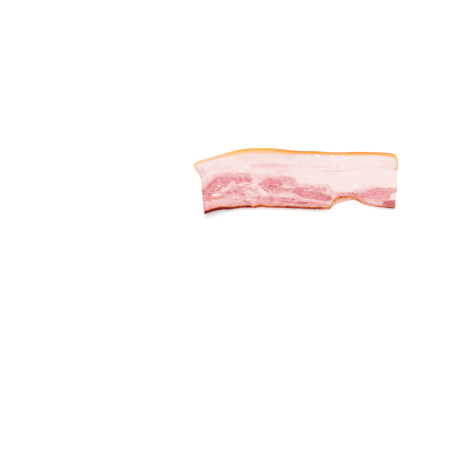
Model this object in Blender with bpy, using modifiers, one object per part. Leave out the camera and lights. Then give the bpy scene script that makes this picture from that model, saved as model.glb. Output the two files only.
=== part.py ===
"""One thick-cut slice of smoked pork belly with its rind, lying flat. Metres, +Z up.

The rind runs along the far side (+Y) and the smoked face along the near side (-Y). The slice is a
patch between four edges, given a thickness. Its corners and the rind lift a little off the
surface that it lies on, and all the rest of its underside is flat at Z = 0.
"""

import math

import bmesh
import bpy
from mathutils import Vector, noise

NAME = "bacon_slice"

# Thickness of the cut, how unevenly it was cut, and how proud the firm rind stands of the fat.
THICKNESS = 0.0027
UNEVENNESS = 0.00016
UNEVEN_PATCH = 0.016
RIND_WIDTH = 0.0026
RIND_LIP = 0.0002

# Long edges, left to right, as (x, y). The near one has a shallow nick and a deep notch.
RIND_EDGE = (
    (-0.0900, 0.0142), (-0.0845, 0.0176), (-0.0730, 0.0219), (-0.0600, 0.0259), (-0.0470, 0.0292),
    (-0.0300, 0.0302), (-0.0140, 0.0292), (0.0020, 0.0269), (0.0180, 0.0264), (0.0340, 0.0259),
    (0.0520, 0.0264), (0.0680, 0.0262), (0.0780, 0.0254), (0.0857, 0.0242), (0.0882, 0.0224),
)
SMOKED_EDGE = (
    (-0.0808, -0.0331), (-0.0770, -0.0318), (-0.0735, -0.0304), (-0.0665, -0.0284),
    (-0.0590, -0.0276), (-0.0500, -0.0262), (-0.0425, -0.0258), (-0.0380, -0.0261),
    (-0.0330, -0.0253), (-0.0295, -0.0253), (-0.0260, -0.0257), (-0.0100, -0.0261),
    (0.0080, -0.0270), (0.0250, -0.0276), (0.0286, -0.0272), (0.0302, -0.0256), (0.0318, -0.0237),
    (0.0345, -0.0223), (0.0370, -0.0214), (0.0405, -0.0203), (0.0470, -0.0188), (0.0505, -0.0189),
    (0.0545, -0.0206), (0.0575, -0.0224), (0.0610, -0.0236), (0.0720, -0.0252), (0.0790, -0.0260),
    (0.0852, -0.0267),
)

# Cut ends, near to far, as (y, x). The left one sweeps out to a blunt point under the rind.
LEFT_END = (
    (-0.0331, -0.0808), (-0.0218, -0.0817), (-0.0078, -0.0832), (0.0012, -0.0837),
    (0.0060, -0.0850), (0.0088, -0.0876), (0.0112, -0.0900), (0.0142, -0.0900),
)
RIGHT_END = (
    (-0.0267, 0.0852), (-0.0198, 0.0857), (-0.0078, 0.0876), (0.0042, 0.0881), (0.0087, 0.0885),
    (0.0112, 0.0894), (0.0157, 0.0897), (0.0197, 0.0893), (0.0224, 0.0882),
)

# How far the near wall's top edge stands back from its foot, as (x, distance): a sloping wall in
# the notch, and an upright one elsewhere. The left end's wall leans back a little near that edge.
NEAR_SLANT = (
    (-0.0808, 0.0003), (0.0250, 0.0004), (0.0272, 0.0024), (0.0289, 0.0042), (0.0307, 0.0042),
    (0.0324, 0.0045), (0.0342, 0.0047), (0.0370, 0.0042), (0.0400, 0.0034), (0.0450, 0.0025),
    (0.0500, 0.0018), (0.0535, 0.0022), (0.0570, 0.0024), (0.0590, 0.0016), (0.0620, 0.0003),
    (0.0852, 0.0003),
)
LEFT_SLANT = 0.0003

# Middle of this outline's box, which becomes the part's origin.
MIDDLE = Vector((-0.0003, -0.0014))

# The smoked face is dry and slightly ragged.
RAGGED = 0.00022
RAGGED_LENGTH = 0.0035

# Where the slice stands off the surface: middle (x, y), reach along X and Y, and height.
LIFTS = (
    ((-0.0820, -0.0310), (0.0300, 0.0200), 0.0030),
    ((-0.0900, 0.0130), (0.0170, 0.0150), 0.0018),
    ((0.0120, 0.0290), (0.0260, 0.0150), 0.0016),
    ((0.0900, 0.0220), (0.0200, 0.0160), 0.0012),
    ((0.0280, -0.0280), (0.0160, 0.0110), 0.0012),
)

# Grid of the patch, how much finer its rows get towards the long edges, and the rounded rim.
COLUMNS = 100
ROWS = 18
ROW_CROWDING = 0.09
RIM_ROUNDING = 0.0004
RIM_SEGMENTS = 2
SHARP_ANGLE = math.radians(40)

# The even pink of lean and fat together, linear.
PINK = (0.80, 0.50, 0.49, 1.0)


def read_curve(points, at):
    """Read the smooth curve through (position, value) pairs at a position, or at its nearer end."""
    last = len(points) - 1
    at = min(max(at, points[0][0]), points[last][0])
    i = 0
    while i < last - 1 and at > points[i + 1][0]:
        i += 1

    def slope(k):
        before, after = points[max(k - 1, 0)], points[min(k + 1, last)]
        return (after[1] - before[1]) / (after[0] - before[0])

    (x0, y0), (x1, y1) = points[i], points[i + 1]
    span = x1 - x0
    t = (at - x0) / span
    rise = y1 - y0
    turn0 = slope(i) * span - rise
    turn1 = rise - slope(i + 1) * span
    return y0 + t * rise + t * (1 - t) * ((1 - t) * turn0 + t * turn1)


def bump(distance):
    """A round bump: 1 in the middle, smoothly 0 from a distance of 1 on."""
    return max(0.0, 1.0 - distance * distance) ** 2


def rind_point(u):
    x = RIND_EDGE[0][0] + u * (RIND_EDGE[-1][0] - RIND_EDGE[0][0])
    return Vector((x, read_curve(RIND_EDGE, x)))


def smoked_point(u, level):
    """A point of the near edge, at the foot of the wall (level 0) or at its top (level 1)."""
    x = SMOKED_EDGE[0][0] + u * (SMOKED_EDGE[-1][0] - SMOKED_EDGE[0][0])
    slant = read_curve(NEAR_SLANT, x)
    ragged = RAGGED * noise.noise(Vector((x / RAGGED_LENGTH, level, 0.0)))
    fades = bump(2.0 * u - 1.0) ** 0.25
    return Vector((x, read_curve(SMOKED_EDGE, x) + level * slant + fades * ragged))


def end_point(end, v):
    y = end[0][0] + v * (end[-1][0] - end[0][0])
    return Vector((read_curve(end, y), y))


def place(u, v, level):
    """The point of the plan at u along and v across, blended between the four edges."""
    near, far = smoked_point(u, level), rind_point(u)
    left, right = end_point(LEFT_END, v), end_point(RIGHT_END, v)
    left.x += level * (1.0 - v) * LEFT_SLANT
    near_corners = smoked_point(0.0, 0).lerp(smoked_point(1.0, 0), u)
    far_corners = rind_point(0.0).lerp(rind_point(1.0), u)
    return near.lerp(far, v) + left.lerp(right, u) - near_corners.lerp(far_corners, v)


def lift(plan):
    """Height of the underside over the surface: 0 except near the corners and the rind's ripple."""
    height = 0.0
    for (x, y), (reach_x, reach_y), most in LIFTS:
        away = Vector(((plan.x - x) / reach_x, (plan.y - y) / reach_y))
        height = max(height, most * bump(away.length))
    return height


def thickness(plan, u):
    """Thickness at a point of the plan, with the slicer's unevenness and the proud rind."""
    uneven = noise.noise(Vector((plan.x / UNEVEN_PATCH, plan.y / UNEVEN_PATCH, 0.5)))
    from_rind = (rind_point(u).y - plan.y) / RIND_WIDTH
    return THICKNESS + UNEVENNESS * uneven + RIND_LIP * bump(from_rind)


def shape_slab(mesh):
    """Turn the unit slab, 0 to 1 along each axis, into the slice."""
    for vertex in mesh.verts:
        u, v, level = vertex.co
        plan = place(u, v, level)
        height = lift(plan) + level * thickness(plan, u)
        vertex.co = (*(plan - MIDDLE), height)


def unit_slab():
    """A closed slab from a flat grid: 0 to 1 along each axis, with rows crowded to the long edges."""
    slab = bmesh.new()
    bmesh.ops.create_grid(slab, x_segments=COLUMNS, y_segments=ROWS, size=0.5)
    raised = bmesh.ops.extrude_face_region(slab, geom=slab.faces[:], use_keep_orig=True)["geom"]
    top = [part for part in raised if isinstance(part, bmesh.types.BMVert)]
    bmesh.ops.translate(slab, verts=slab.verts, vec=(0.5, 0.5, 0.0))
    bmesh.ops.translate(slab, verts=top, vec=(0.0, 0.0, 1.0))
    for vertex in slab.verts:
        vertex.co.y -= ROW_CROWDING * math.sin(math.tau * vertex.co.y)
    bmesh.ops.recalc_face_normals(slab, faces=slab.faces)
    return slab


def mark_rim(slab):
    """Give the edges between the wall and the two faces the weight that the bevel reads."""
    weight = slab.edges.layers.float.new("bevel_weight_edge")
    for edge in slab.edges:
        one, other = edge.link_faces
        if abs(one.normal.z - other.normal.z) > 0.5:
            edge[weight] = 1.0


def meat_material():
    material = bpy.data.materials.new("cured_pork")
    material.use_nodes = True
    shader = material.node_tree.nodes["Principled BSDF"]
    shader.inputs["Base Color"].default_value = PINK
    shader.inputs["Roughness"].default_value = 0.3
    return material


def make_slice(collection):
    slab = unit_slab()
    mark_rim(slab)
    shape_slab(slab)
    mesh = bpy.data.meshes.new(NAME)
    slab.to_mesh(mesh)
    slab.free()
    mesh.shade_smooth()
    mesh.set_sharp_from_angle(angle=SHARP_ANGLE)
    mesh.materials.append(meat_material())
    piece = bpy.data.objects.new(NAME, mesh)
    collection.objects.link(piece)

    rim = piece.modifiers.new("rim", "BEVEL")
    rim.limit_method = "WEIGHT"
    rim.width = RIM_ROUNDING
    rim.segments = RIM_SEGMENTS
    return piece


def main():
    for old in list(bpy.data.objects):
        bpy.data.objects.remove(old, do_unlink=True)
    collection = bpy.data.collections.new("sliced_bacon")
    bpy.context.scene.collection.children.link(collection)
    make_slice(collection)


main()
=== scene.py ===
"""A slice of smoked streaky bacon on a white table, seen from above. Metres, +Z up."""

import math

import bmesh
import bpy
import numpy as np
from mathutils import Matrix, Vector, noise


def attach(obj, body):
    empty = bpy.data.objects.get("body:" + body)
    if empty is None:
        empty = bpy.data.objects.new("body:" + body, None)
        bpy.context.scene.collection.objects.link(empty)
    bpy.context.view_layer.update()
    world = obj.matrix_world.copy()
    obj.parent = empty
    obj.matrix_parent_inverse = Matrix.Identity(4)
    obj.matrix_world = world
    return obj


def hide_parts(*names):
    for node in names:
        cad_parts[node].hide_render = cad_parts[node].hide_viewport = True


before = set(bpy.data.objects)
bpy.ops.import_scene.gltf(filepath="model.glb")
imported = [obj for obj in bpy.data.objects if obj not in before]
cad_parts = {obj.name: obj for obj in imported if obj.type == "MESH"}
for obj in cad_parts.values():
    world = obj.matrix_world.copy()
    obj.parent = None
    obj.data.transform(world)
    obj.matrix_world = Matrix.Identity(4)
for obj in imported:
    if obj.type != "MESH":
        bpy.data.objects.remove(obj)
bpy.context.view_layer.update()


# ---- The cut slice -----------------------------------------------------------------------------
# Thick-cut pork belly, salted and smoked with its skin on, then sliced across on a machine. The
# rind is the far edge and the smoked face the near one. One continuous skin of mesh makes both
# cut faces and the wall between them, fine enough to carry the meat's own relief.

# The slice's plan: its long edges from left to right as (x, y), and its cut ends as (y, x).
RIND_EDGE = (
    (-0.0900, 0.0142), (-0.0845, 0.0176), (-0.0730, 0.0219), (-0.0600, 0.0259), (-0.0470, 0.0292),
    (-0.0300, 0.0302), (-0.0140, 0.0292), (0.0020, 0.0269), (0.0180, 0.0264), (0.0340, 0.0259),
    (0.0520, 0.0264), (0.0680, 0.0262), (0.0780, 0.0254), (0.0857, 0.0242), (0.0882, 0.0224),
)
SMOKED_EDGE = (
    (-0.0808, -0.0331), (-0.0770, -0.0318), (-0.0735, -0.0304), (-0.0665, -0.0284),
    (-0.0590, -0.0276), (-0.0500, -0.0262), (-0.0425, -0.0258), (-0.0380, -0.0261),
    (-0.0330, -0.0253), (-0.0295, -0.0253), (-0.0260, -0.0257), (-0.0100, -0.0261),
    (0.0080, -0.0270), (0.0250, -0.0276), (0.0286, -0.0272), (0.0302, -0.0256), (0.0318, -0.0237),
    (0.0345, -0.0223), (0.0370, -0.0214), (0.0405, -0.0203), (0.0470, -0.0188), (0.0505, -0.0189),
    (0.0545, -0.0206), (0.0575, -0.0224), (0.0610, -0.0236), (0.0720, -0.0252), (0.0790, -0.0260),
    (0.0852, -0.0267),
)
LEFT_END = (
    (-0.0331, -0.0808), (-0.0218, -0.0817), (-0.0078, -0.0832), (0.0012, -0.0837),
    (0.0060, -0.0850), (0.0088, -0.0876), (0.0112, -0.0900), (0.0142, -0.0900),
)
RIGHT_END = (
    (-0.0267, 0.0852), (-0.0198, 0.0857), (-0.0078, 0.0876), (0.0042, 0.0881), (0.0087, 0.0885),
    (0.0112, 0.0894), (0.0157, 0.0897), (0.0197, 0.0893), (0.0224, 0.0882),
)
# How far the near wall's top stands back from its foot, as (x, distance).
NEAR_SLANT = (
    (-0.0808, 0.0003), (0.0250, 0.0004), (0.0272, 0.0024), (0.0289, 0.0042), (0.0307, 0.0042),
    (0.0324, 0.0045), (0.0342, 0.0047), (0.0370, 0.0042), (0.0400, 0.0034), (0.0450, 0.0025),
    (0.0500, 0.0018), (0.0535, 0.0022), (0.0570, 0.0024), (0.0590, 0.0016), (0.0620, 0.0003),
    (0.0852, 0.0003),
)
LEFT_SLANT = 0.0003
# Middle of this plan's box, which is the piece's origin.
MIDDLE = (-0.0003, -0.0014)
# How far the smoked edge strays from its line, and over what length.
RAGGED = 0.00022
RAGGED_LENGTH = 0.0035

# The mesh's grid, whose rows get finer towards the long edges, and its rounded rim.
MESH_COLUMNS = 372
MESH_ROWS = 112
WALL_ROWS = 8
ROW_CROWDING = 0.05
RIM = 0.0004
RIM_POWER = 0.4
# Mean length and width, which turn a distance into a share of the way across.
MEAN_LENGTH = 0.172
MEAN_WIDTH = 0.054


def follow(points, at):
    """Read the smooth curve through (position, value) pairs at an array of positions."""
    x, y = np.array(points, float).T
    steep = np.empty(len(x))
    steep[1:-1] = (y[2:] - y[:-2]) / (x[2:] - x[:-2])
    steep[0] = (y[1] - y[0]) / (x[1] - x[0])
    steep[-1] = (y[-1] - y[-2]) / (x[-1] - x[-2])
    at = np.clip(at, x[0], x[-1])
    i = np.clip(np.searchsorted(x, at) - 1, 0, len(x) - 2)
    span = x[i + 1] - x[i]
    t = (at - x[i]) / span
    rise = y[i + 1] - y[i]
    turn_in = steep[i] * span - rise
    turn_out = rise - steep[i + 1] * span
    return y[i] + t * rise + t * (1 - t) * ((1 - t) * turn_in + t * turn_out)


def bump(distance):
    """A round bump: 1 in the middle, smoothly 0 from a distance of 1 on."""
    return np.maximum(0.0, 1.0 - distance * distance) ** 2


def edge_along(points, share):
    """The position at a share of the way along an edge."""
    return points[0][0] + share * (points[-1][0] - points[0][0])


def rind_line(u):
    x = edge_along(RIND_EDGE, u)
    return x, follow(RIND_EDGE, x)


def smoked_line(u, level):
    """The near edge, from the foot of its wall (level 0) to its top (level 1)."""
    x = edge_along(SMOKED_EDGE, u)
    spots = zip(x / RAGGED_LENGTH, level)
    ragged = RAGGED * np.array([noise.noise(Vector((along, up, 0.0))) for along, up in spots])
    away_from_corners = bump(2.0 * u - 1.0) ** 0.25
    return x, follow(SMOKED_EDGE, x) + level * follow(NEAR_SLANT, x) + away_from_corners * ragged


def lay_out(u, v, level):
    """Plan position of each point, blended between the slice's four edges."""
    near_x, near_y = smoked_line(u, level)
    far_x, far_y = rind_line(u)
    left_y, right_y = edge_along(LEFT_END, v), edge_along(RIGHT_END, v)
    left_x = follow(LEFT_END, left_y) + level * (1.0 - v) * LEFT_SLANT
    right_x = follow(RIGHT_END, right_y)
    near_left, near_right, far_left, far_right = (
        np.array(corner) for corner in (SMOKED_EDGE[0], SMOKED_EDGE[-1], RIND_EDGE[0], RIND_EDGE[-1]))
    near_middle = np.outer(1 - u, near_left) + np.outer(u, near_right)
    far_middle = np.outer(1 - u, far_left) + np.outer(u, far_right)
    x = near_x * (1 - v) + far_x * v + left_x * (1 - u) + right_x * u
    y = near_y * (1 - v) + far_y * v + left_y * (1 - u) + right_y * u
    x -= near_middle[:, 0] * (1 - v) + far_middle[:, 0] * v
    y -= near_middle[:, 1] * (1 - v) + far_middle[:, 1] * v
    return x, y


blank = bmesh.new()
bmesh.ops.create_grid(blank, x_segments=MESH_COLUMNS, y_segments=MESH_ROWS, size=0.5)
raised = bmesh.ops.extrude_face_region(blank, geom=blank.faces[:], use_keep_orig=True)["geom"]
top_face = [part for part in raised if isinstance(part, bmesh.types.BMVert)]
bmesh.ops.translate(blank, verts=blank.verts, vec=(0.5, 0.5, 0.0))
bmesh.ops.translate(blank, verts=top_face, vec=(0.0, 0.0, 1.0))
for vertex in blank.verts:
    vertex.co.y -= ROW_CROWDING * math.sin(math.tau * vertex.co.y)
uprights = [edge for edge in blank.edges if abs(edge.verts[0].co.z - edge.verts[1].co.z) > 0.5]
bmesh.ops.subdivide_edges(blank, edges=uprights, cuts=WALL_ROWS - 1, use_grid_fill=True)
bmesh.ops.recalc_face_normals(blank, faces=blank.faces)
bacon_mesh = bpy.data.meshes.new("bacon_slice_cut")
blank.to_mesh(bacon_mesh)
blank.free()

unit = np.empty(len(bacon_mesh.vertices) * 3, np.float32)
bacon_mesh.vertices.foreach_get("co", unit)
unit_u, unit_v, unit_level = unit.reshape(-1, 3).astype(float).T

# The rim is rounded: the wall bulges, and both faces draw in a little where they meet it.
round_angle = math.pi * (unit_level - 0.5)
level = 0.5 + 0.5 * np.sign(np.sin(round_angle)) * np.abs(np.sin(round_angle)) ** RIM_POWER
drawn_in = RIM * (1.0 - np.abs(np.cos(round_angle)) ** RIM_POWER)
share_u = drawn_in / MEAN_LENGTH + unit_u * (1.0 - 2.0 * drawn_in / MEAN_LENGTH)
share_v = drawn_in / MEAN_WIDTH + unit_v * (1.0 - 2.0 * drawn_in / MEAN_WIDTH)
plan_x, plan_y = lay_out(share_u, share_v, level)
in_wall = np.cos(round_angle)


# ---- Fat and lean ------------------------------------------------------------------------------
# The back fat is one broad white band under the rind. Below it run the belly's muscles, cut
# across: soft-sided bands and blobs, each with a darker heart, with fat between and within them.

# Each stroke is (tone, softness, middle line as (x, y, half width)), all lengths in millimetres,
# and covers the strokes before it. Tone is 0 for white fat, 0.8 for lean, 1.2 for the darkest, and
# below 0 for painted glints, whiter than any fat.
STROKES = (
    # Rosy patches and faint lines in the back fat.
    (0.14, 6.0, ((-50.0, 21.5, 3.0), (-30.0, 23.6, 3.8), (-6.0, 21.6, 3.0))),
    (0.01, 6.0, ((2.0, 20.8, 3.5), (10.0, 20.4, 4.5), (22.0, 20.6, 3.5))),
    (0.27, 5.0, ((-38.0, 12.6, 2.2), (-28.0, 13.4, 2.9), (-14.0, 12.6, 2.5), (-7.0, 12.4, 1.2))),
    (0.17, 4.0, ((-76.0, 10.6, 2.0), (-66.0, 10.6, 2.4), (-56.0, 10.2, 1.8))),
    (0.20, 2.0, ((-6.0, 12.6, 0.8), (10.0, 12.2, 0.8), (28.0, 12.0, 0.8), (39.0, 11.0, 0.5))),
    (0.24, 1.2, ((20.6, 8.0, 0.4), (30.0, 7.5, 0.5), (43.5, 7.8, 0.4))),
    (0.15, 1.2, ((-6.0, 8.2, 0.7), (13.5, 7.8, 0.7))),
    (0.14, 1.0, ((23.0, 4.6, 0.4), (38.0, 4.6, 0.4))),
    (0.18, 0.9, ((43.5, 7.8, 0.2), (57.5, 11.2, 0.3), (70.0, 12.3, 0.3), (88.0, 9.4, 0.3))),
    (0.20, 3.0, ((-18.0, 7.0, 1.4), (-5.0, 7.2, 1.2))),
    (0.20, 3.0, ((-83.0, 9.0, 1.4), (-80.0, 4.0, 1.8))),
    (0.22, 3.0, ((-46.0, 7.6, 1.2), (-41.0, 6.2, 1.6))),
    # Top left muscle: an arc that bends down to the left end.
    (0.43, 2.6, ((-71.5, 2.2, 1.6), (-66.0, 3.2, 1.6), (-56.0, 3.4, 2.0), (-48.0, 3.2, 2.2),
                 (-41.0, 3.2, 2.2))),
    (0.72, 1.8, (
        (-80.8, -12.6, 3.2), (-77.8, -9.8, 3.0), (-74.6, -5.8, 3.0), (-71.6, -2.4, 3.0),
        (-68.0, 0.0, 2.4), (-62.0, 0.2, 2.2), (-55.0, 0.2, 1.9), (-47.0, -0.6, 2.2),
        (-41.2, -0.8, 2.4))),
    (0.70, 1.6, ((-63.5, -2.8, 2.4), (-61.0, -3.4, 2.3), (-58.8, -2.2, 2.2))),
    (0.70, 1.6, ((-75.5, -11.0, 2.8), (-72.0, -8.0, 2.2), (-69.6, -4.4, 1.8))),
    (0.88, 1.8, ((-80.5, -13.8, 2.4), (-77.5, -14.4, 2.2), (-73.4, -14.4, 1.7))),
    (0.92, 1.4, ((-79.5, -9.4, 0.9), (-77.0, -7.4, 0.9), (-75.4, -5.2, 1.3), (-74.6, -4.0, 1.0))),
    (1.04, 0.9, ((-76.1, -5.6, 0.7), (-75.2, -4.5, 0.6))),
    (0.86, 1.6, ((-73.2, -3.8, 1.2), (-71.0, -1.4, 1.2), (-69.6, 0.2, 0.9))),
    (0.88, 1.6, ((-79.6, -14.4, 1.1), (-77.0, -13.4, 1.2), (-74.6, -12.2, 0.9))),
    (1.08, 1.4, ((-83.2, -10.6, 0.8), (-82.0, -13.4, 1.2))),
    (0.85, 1.6, ((-64.0, -3.4, 1.4), (-61.0, -4.2, 1.3), (-59.4, -4.6, 0.8))),
    (0.78, 1.8, ((-60.5, 0.6, 0.9), (-56.0, 0.0, 0.9))),
    (0.82, 1.4, ((-53.0, 0.2, 0.7), (-50.0, 0.4, 0.8), (-46.0, -0.4, 1.0), (-41.6, -0.8, 1.1))),
    (0.84, 1.6, ((-58.0, -0.6, 0.7), (-54.0, -1.0, 0.7), (-49.0, -1.4, 0.8))),
    (0.72, 1.4, ((-44.6, -1.6, 0.7), (-41.4, -2.0, 0.7))),
    (0.55, 1.8, ((-67.6, -1.4, 0.4), (-66.6, -4.0, 0.8), (-66.0, -5.6, 0.5))),
    # Broad wedge of fat under it, with fine slanting threads.
    (0.20, 1.8, ((-73.0, -15.6, 0.7), (-69.5, -14.8, 1.4), (-66.0, -12.2, 1.4), (-62.0, -9.2, 1.6),
                 (-58.6, -6.4, 1.2), (-56.6, -4.2, 0.9), (-55.8, -2.8, 0.4))),
    (0.10, 1.4, ((-73.2, -15.4, 0.6), (-70.6, -15.0, 1.0), (-68.6, -14.6, 0.5))),
    (0.44, 1.2, ((-69.8, -12.2, 0.5), (-66.8, -12.8, 0.8), (-64.4, -13.4, 0.6))),
    (0.30, 1.4, ((-63.0, -8.6, 0.8), (-59.0, -5.8, 0.9), (-56.4, -3.6, 0.7))),
    (0.92, 0.8, ((-73.0, -12.4, 0.5), (-69.8, -10.8, 0.7), (-67.6, -9.0, 0.8), (-65.4, -7.4, 0.7),
                 (-62.4, -6.4, 0.7))),
    (1.04, 0.6, ((-70.4, -11.0, 0.3), (-68.6, -9.3, 0.4), (-66.4, -7.4, 0.3))),
    (0.26, 0.7, ((-71.8, -10.6, 0.3), (-69.0, -8.2, 0.35), (-66.8, -6.4, 0.3))),
    (0.94, 0.8, ((-73.0, -9.2, 0.5), (-69.2, -6.3, 0.5), (-67.2, -4.8, 0.4))),
    (0.30, 0.7, ((-71.8, -7.2, 0.3), (-68.8, -4.8, 0.3))),
    (0.06, 1.0, ((-80.6, -3.6, 0.3), (-78.9, 1.6, 0.4), (-75.6, 4.8, 0.4))),
    # Fine waves of fat and lean at the arc's right-hand end.
    (0.30, 1.6, ((-53.5, -4.8, 0.8), (-48.0, -4.8, 1.4), (-41.5, -5.0, 1.4))),
    (0.06, 0.7, ((-50.6, -4.6, 0.4), (-47.0, -4.2, 0.5), (-42.4, -3.8, 0.4))),
    (0.06, 0.7, ((-50.4, -5.8, 0.4), (-46.0, -6.0, 0.5), (-41.4, -6.6, 0.4))),
    (0.92, 0.7, ((-53.4, -3.6, 0.5), (-50.4, -3.7, 0.4))),
    (0.95, 0.6, ((-46.8, -5.1, 0.4), (-42.0, -5.2, 0.4))),
    (0.80, 0.8, ((-52.0, -6.8, 0.4), (-47.5, -6.9, 0.5), (-44.0, -7.5, 0.4))),
    # Paler muscle below, and the fat round it.
    (0.44, 3.0, ((-78.0, -25.0, 2.4), (-66.0, -23.4, 2.4), (-54.0, -21.4, 2.8), (-46.0, -19.6, 2.4))),
    (0.64, 2.0, ((-79.0, -28.6, 1.2), (-72.0, -26.2, 1.0), (-58.0, -24.8, 1.0), (-44.0, -23.8, 1.0))),
    (0.56, 1.4, ((-79.0, -27.6, 0.6), (-74.0, -25.4, 0.7), (-66.0, -24.4, 0.6))),
    (0.54, 1.4, ((-75.0, -23.2, 0.5), (-68.0, -22.8, 0.7), (-60.0, -22.0, 0.5))),
    (0.28, 1.2, ((-72.0, -22.8, 0.3), (-62.0, -22.1, 0.5), (-56.0, -20.6, 0.4))),
    (0.54, 1.2, ((-56.0, -19.4, 0.5), (-52.0, -18.8, 0.7), (-49.4, -18.0, 0.5))),
    (0.26, 1.2, ((-52.0, -21.0, 0.4), (-47.6, -19.6, 0.5))),
    (0.74, 2.2, ((-80.8, -18.9, 2.4), (-76.0, -19.0, 2.4), (-70.0, -18.0, 1.3), (-65.0, -17.0, 1.5))),
    (0.58, 2.2, ((-63.5, -15.0, 1.8), (-60.0, -12.6, 2.2), (-55.0, -11.4, 2.2), (-49.0, -12.0, 2.4),
                 (-48.2, -13.8, 1.2))),
    (0.44, 2.0, ((-46.6, -12.6, 0.8), (-45.4, -16.4, 0.9), (-45.0, -19.0, 0.7))),
    (0.44, 2.0, ((-56.0, -8.6, 1.0), (-50.0, -8.1, 1.2), (-44.0, -8.8, 1.1), (-38.5, -9.6, 1.6),
                 (-36.2, -10.6, 1.2))),
    (0.86, 1.4, ((-60.4, -12.8, 1.0), (-57.6, -11.8, 1.0))),
    (0.90, 1.2, ((-56.0, -11.6, 0.6), (-52.6, -11.2, 0.8))),
    (0.86, 1.2, ((-50.2, -13.6, 0.7), (-47.2, -14.4, 0.9))),
    (0.82, 1.0, ((-51.0, -7.6, 0.5), (-47.8, -8.2, 0.6))),
    (0.70, 1.2, ((-63.6, -15.8, 0.8), (-61.6, -14.4, 0.8))),
    (0.88, 1.4, ((-81.4, -19.6, 1.2), (-78.0, -19.2, 1.0), (-75.6, -18.6, 0.6))),
    (0.16, 1.2, ((-80.0, -22.2, 0.5), (-77.6, -22.5, 0.5))),
    (0.30, 1.8, ((-74.0, -21.2, 0.7), (-66.0, -20.6, 0.7), (-60.0, -19.8, 0.8))),
    (0.54, 1.8, ((-59.0, -23.6, 0.7), (-53.0, -23.2, 0.8))),
    (0.84, 1.6, ((-46.0, -20.6, 1.1), (-43.4, -21.4, 1.4), (-41.4, -22.6, 1.2))),
    (0.14, 1.4, ((-45.0, -11.4, 0.5), (-41.5, -12.4, 1.2), (-39.0, -13.8, 1.0), (-37.2, -15.2, 0.4))),
    (0.20, 1.2, ((-43.6, -15.6, 0.5), (-40.4, -16.2, 0.7))),
    (0.74, 0.6, ((-43.0, -13.7, 0.3), (-38.5, -15.8, 0.35), (-35.0, -17.2, 0.3))),
    (0.18, 2.4, ((-38.4, 3.6, 1.4), (-35.5, 0.0, 2.8), (-34.6, -4.0, 2.4), (-38.6, -6.6, 1.4))),
    (0.24, 2.0, ((-30.8, -0.6, 1.0), (-31.6, -2.6, 1.0))),
    (0.13, 1.2, ((-34.4, -7.4, 0.6), (-32.8, -9.2, 1.6), (-30.6, -11.6, 2.4), (-28.0, -13.6, 1.8),
                 (-25.6, -14.8, 0.8))),
    # Middle muscle: a rounded blob with a fat pocket in it, and faint curls over it.
    (0.27, 0.9, ((-17.0, 4.6, 0.3), (-14.4, 7.3, 0.5), (-12.8, 7.8, 0.1))),
    (0.27, 0.9, ((-11.4, 7.6, 0.3), (-9.6, 7.9, 0.5), (-7.0, 7.6, 0.2))),
    (0.30, 2.4, ((-25.0, -13.6, 1.2), (-21.0, -14.4, 1.4), (-16.0, -14.0, 1.2))),
    (0.30, 1.6, ((-33.2, -12.4, 0.7), (-32.2, -15.4, 0.8))),
    (0.50, 2.5, ((-7.0, -4.6, 2.2), (-2.0, -6.4, 1.9))),
    (0.20, 2.4, ((-30.0, 4.0, 1.2), (-25.0, 5.0, 1.2), (-20.0, 4.6, 1.0))),
    (0.42, 2.4, ((-28.0, 1.4, 1.0), (-24.0, 2.0, 1.0), (-19.0, 2.0, 1.0))),
    (0.68, 2.2, ((-32.2, -4.8, 0.8), (-28.6, -3.6, 2.1), (-25.0, -2.2, 3.4))),
    (0.68, 2.2, ((-28.0, -5.0, 1.0), (-24.0, -3.8, 3.2), (-18.0, -4.2, 3.8), (-14.0, -4.2, 3.2))),
    (0.60, 2.0, ((-12.6, -3.2, 1.3), (-8.6, -3.6, 1.2))),
    (0.56, 2.2, ((-14.0, -0.5, 2.9), (-8.0, -0.5, 3.2), (-3.5, -1.4, 2.4))),
    (0.70, 1.8, ((-27.4, -7.6, 1.4), (-22.0, -8.6, 2.4), (-15.0, -9.6, 2.0), (-6.6, -10.0, 1.6))),
    (0.50, 1.8, ((-22.0, -12.2, 0.8), (-18.0, -12.8, 1.1), (-15.2, -13.4, 1.0))),
    (0.84, 3.0, ((-26.0, -3.4, 1.6), (-22.4, -2.8, 2.6), (-18.0, -3.0, 2.6), (-15.6, -3.8, 1.9))),
    (0.92, 1.6, ((-23.8, 0.4, 0.8), (-22.6, 0.0, 0.8))),
    (0.86, 1.8, ((-19.6, -1.6, 0.7), (-18.6, -2.4, 0.8))),
    (0.90, 1.6, ((-26.4, -4.0, 0.8), (-25.4, -4.6, 0.7))),
    (0.86, 1.6, ((-15.4, -3.4, 0.7), (-14.8, -4.6, 0.7))),
    (0.98, 1.4, ((-24.0, -6.2, 0.8), (-21.0, -6.4, 1.0), (-17.6, -7.2, 0.8))),
    (0.76, 1.2, ((-32.0, -5.0, 0.5), (-30.2, -4.8, 0.7))),
    (0.84, 1.4, ((-27.6, -1.6, 0.6), (-26.4, -0.8, 0.6))),
    (0.90, 1.0, ((-25.4, -8.0, 0.5), (-24.6, -8.8, 0.5))),
    (0.85, 1.2, ((-12.0, -9.6, 0.7), (-8.0, -9.6, 0.9), (-5.6, -9.2, 0.6))),
    (0.22, 0.7, ((-20.0, -4.9, 0.4), (-16.8, -5.0, 0.4))),
    (0.20, 1.4, ((-12.0, -6.2, 0.8), (-8.2, -6.9, 1.1), (-4.6, -7.2, 0.8))),
    (0.08, 0.8, ((-11.0, -6.9, 0.3), (-7.0, -7.5, 0.5))),
    (0.90, 0.7, ((-30.8, -7.2, 0.2), (-28.6, -9.0, 0.4), (-26.6, -10.8, 0.5), (-24.6, -12.2, 0.5))),
    # Right-hand neighbour: the deepest pink, with pale lobes and curls along its top.
    (0.36, 2.0, ((2.0, -6.4, 1.2), (8.0, -5.8, 1.4), (14.0, -7.0, 1.2))),
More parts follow.
